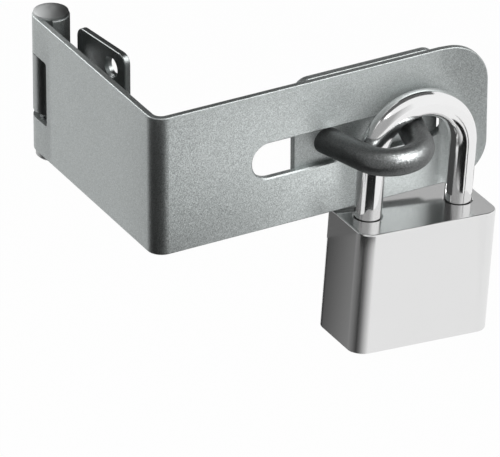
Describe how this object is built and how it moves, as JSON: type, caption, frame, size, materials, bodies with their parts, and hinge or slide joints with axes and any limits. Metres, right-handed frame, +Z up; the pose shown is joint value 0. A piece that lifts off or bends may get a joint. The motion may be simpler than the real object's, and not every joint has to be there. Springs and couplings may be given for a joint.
{
  "type": "right-angle door hasp with padlock",
  "caption": "Right-angle sheet-metal door hasp: hinged L strap slotted over a round-bar staple on its plate, held shut by a square-bodied padlock through the staple.",
  "frame": {"origin": "middle of the staple plate's back, on the door's surface, at the centre of its four screws", "axes": "+X along the strap's long leg to its free end, -Y out of the door towards the user, +Z up"},
  "size_m": [0.1064, 0.1012, 0.0863],
  "materials": {
    "sparkle_paint": "grey metallic powder coat with a fine sparkle",
    "dark_paint": "dark grey metallic coat, semi-gloss",
    "loop_paint": "near-black metallic coat, semi-gloss",
    "pin_steel": "zinc plated, satin",
    "satin_case": "satin chrome plate",
    "shackle_chrome": "polished chrome plate",
    "spring_steel": "drawn wire",
    "brass_works": "turned brass"
  },
  "bodies": {
    "hasp": {"strap": "sparkle_paint", "hinge_pin": "pin_steel", "staple_plate": "sparkle_paint", "staple_loop": "loop_paint", "lock_case": "satin_case", "cylinder_shell": "brass_works", "shell_pin": "pin_steel", "heel_stop_pin": "pin_steel", "shackle_spring": "spring_steel", "latch_spring": "spring_steel"},
    "leaf": {"base_leaf": "dark_paint"},
    "shackle": {"shackle": "shackle_chrome"},
    "plug": {"key_plug": "brass_works", "plug_clip": "spring_steel", "cam": "pin_steel", "vane_1": "brass_works", "vane_2": "brass_works", "vane_3": "brass_works", "vane_4": "brass_works", "vane_5": "brass_works"},
    "latch": {"latch_bolt": "pin_steel"}
  },
  "joints": [
    {"name": "leaf_swing", "type": "hinge", "parent": "hasp", "child": "leaf", "pos_m": [-0.06315, 0.0689, 0], "axis": [0, 0, 1], "range_deg": [-6.5, 173.5]},
    {"name": "shackle_lift", "type": "slide", "parent": "hasp", "child": "shackle", "axis": [0.0715, 0, 0.9974], "range_m": [0, 0.0088], "deforming": ["shackle_spring"]},
    {"name": "key_turn", "type": "hinge", "parent": "hasp", "child": "plug", "pos_m": [0.01007, -0.0092, -0.04345], "axis": [0.0715, 0, 0.9974], "range_deg": [0, 90]},
    {"name": "latch_slide", "type": "slide", "parent": "hasp", "child": "latch", "axis": [-0.9974, 0, 0.0715], "range_m": [0, 0.00221], "deforming": ["latch_spring"]}
  ],
  "couplings": [
    {"joint": "latch_slide", "follows": "key_turn", "m_per_rad": 0.0014006}
  ]
}
